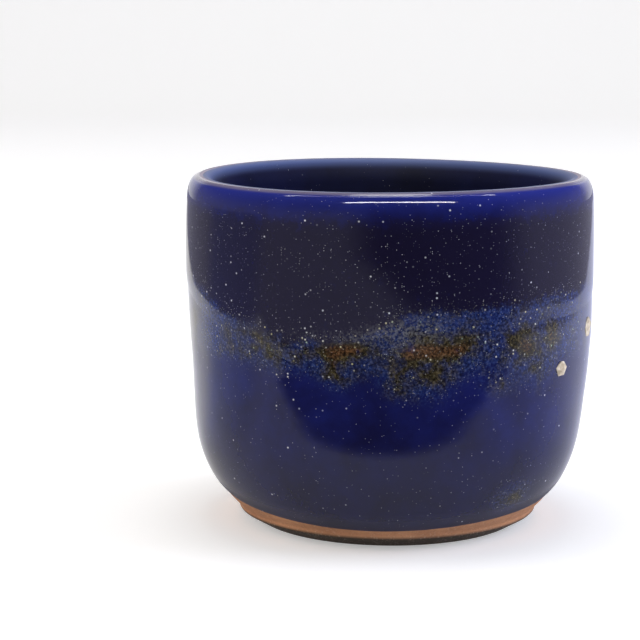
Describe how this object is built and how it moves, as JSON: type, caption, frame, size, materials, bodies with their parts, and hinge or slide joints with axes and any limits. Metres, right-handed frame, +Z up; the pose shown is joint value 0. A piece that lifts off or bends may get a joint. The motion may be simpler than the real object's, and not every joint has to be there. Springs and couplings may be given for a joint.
{
  "type": "cup",
  "caption": "Small handle-less hand-thrown stoneware cup with a rounded lip, a trimmed foot and layered cobalt glaze with an iron-speckled band; holds a drink.",
  "frame": {"origin": "on the turning axis, in the plane of the foot ring that the cup stands on", "axes": "+Z up along the turning axis, from the foot to the lip; the pictured side faces -Y, with +X to its right"},
  "size_m": [0.067, 0.0672, 0.057],
  "materials": {
    "stoneware_clay": "bare fired stoneware, tan, fine grit, matt",
    "cobalt_glaze": "glossy cobalt-blue glaze with fine pale specks",
    "deep_cobalt_glaze": "thicker second coat of glossy cobalt glaze, near-black blue",
    "liner_glaze": "glossy dark blue glaze inside",
    "iron_wash": "brown and gold iron speckle sunk in blue glaze"
  },
  "bodies": {
    "root": {"clay_body": "stoneware_clay", "base_coat": "cobalt_glaze", "second_coat": "deep_cobalt_glaze", "liner_glaze": "liner_glaze", "iron_band": "iron_wash"}
  },
  "joints": []
}
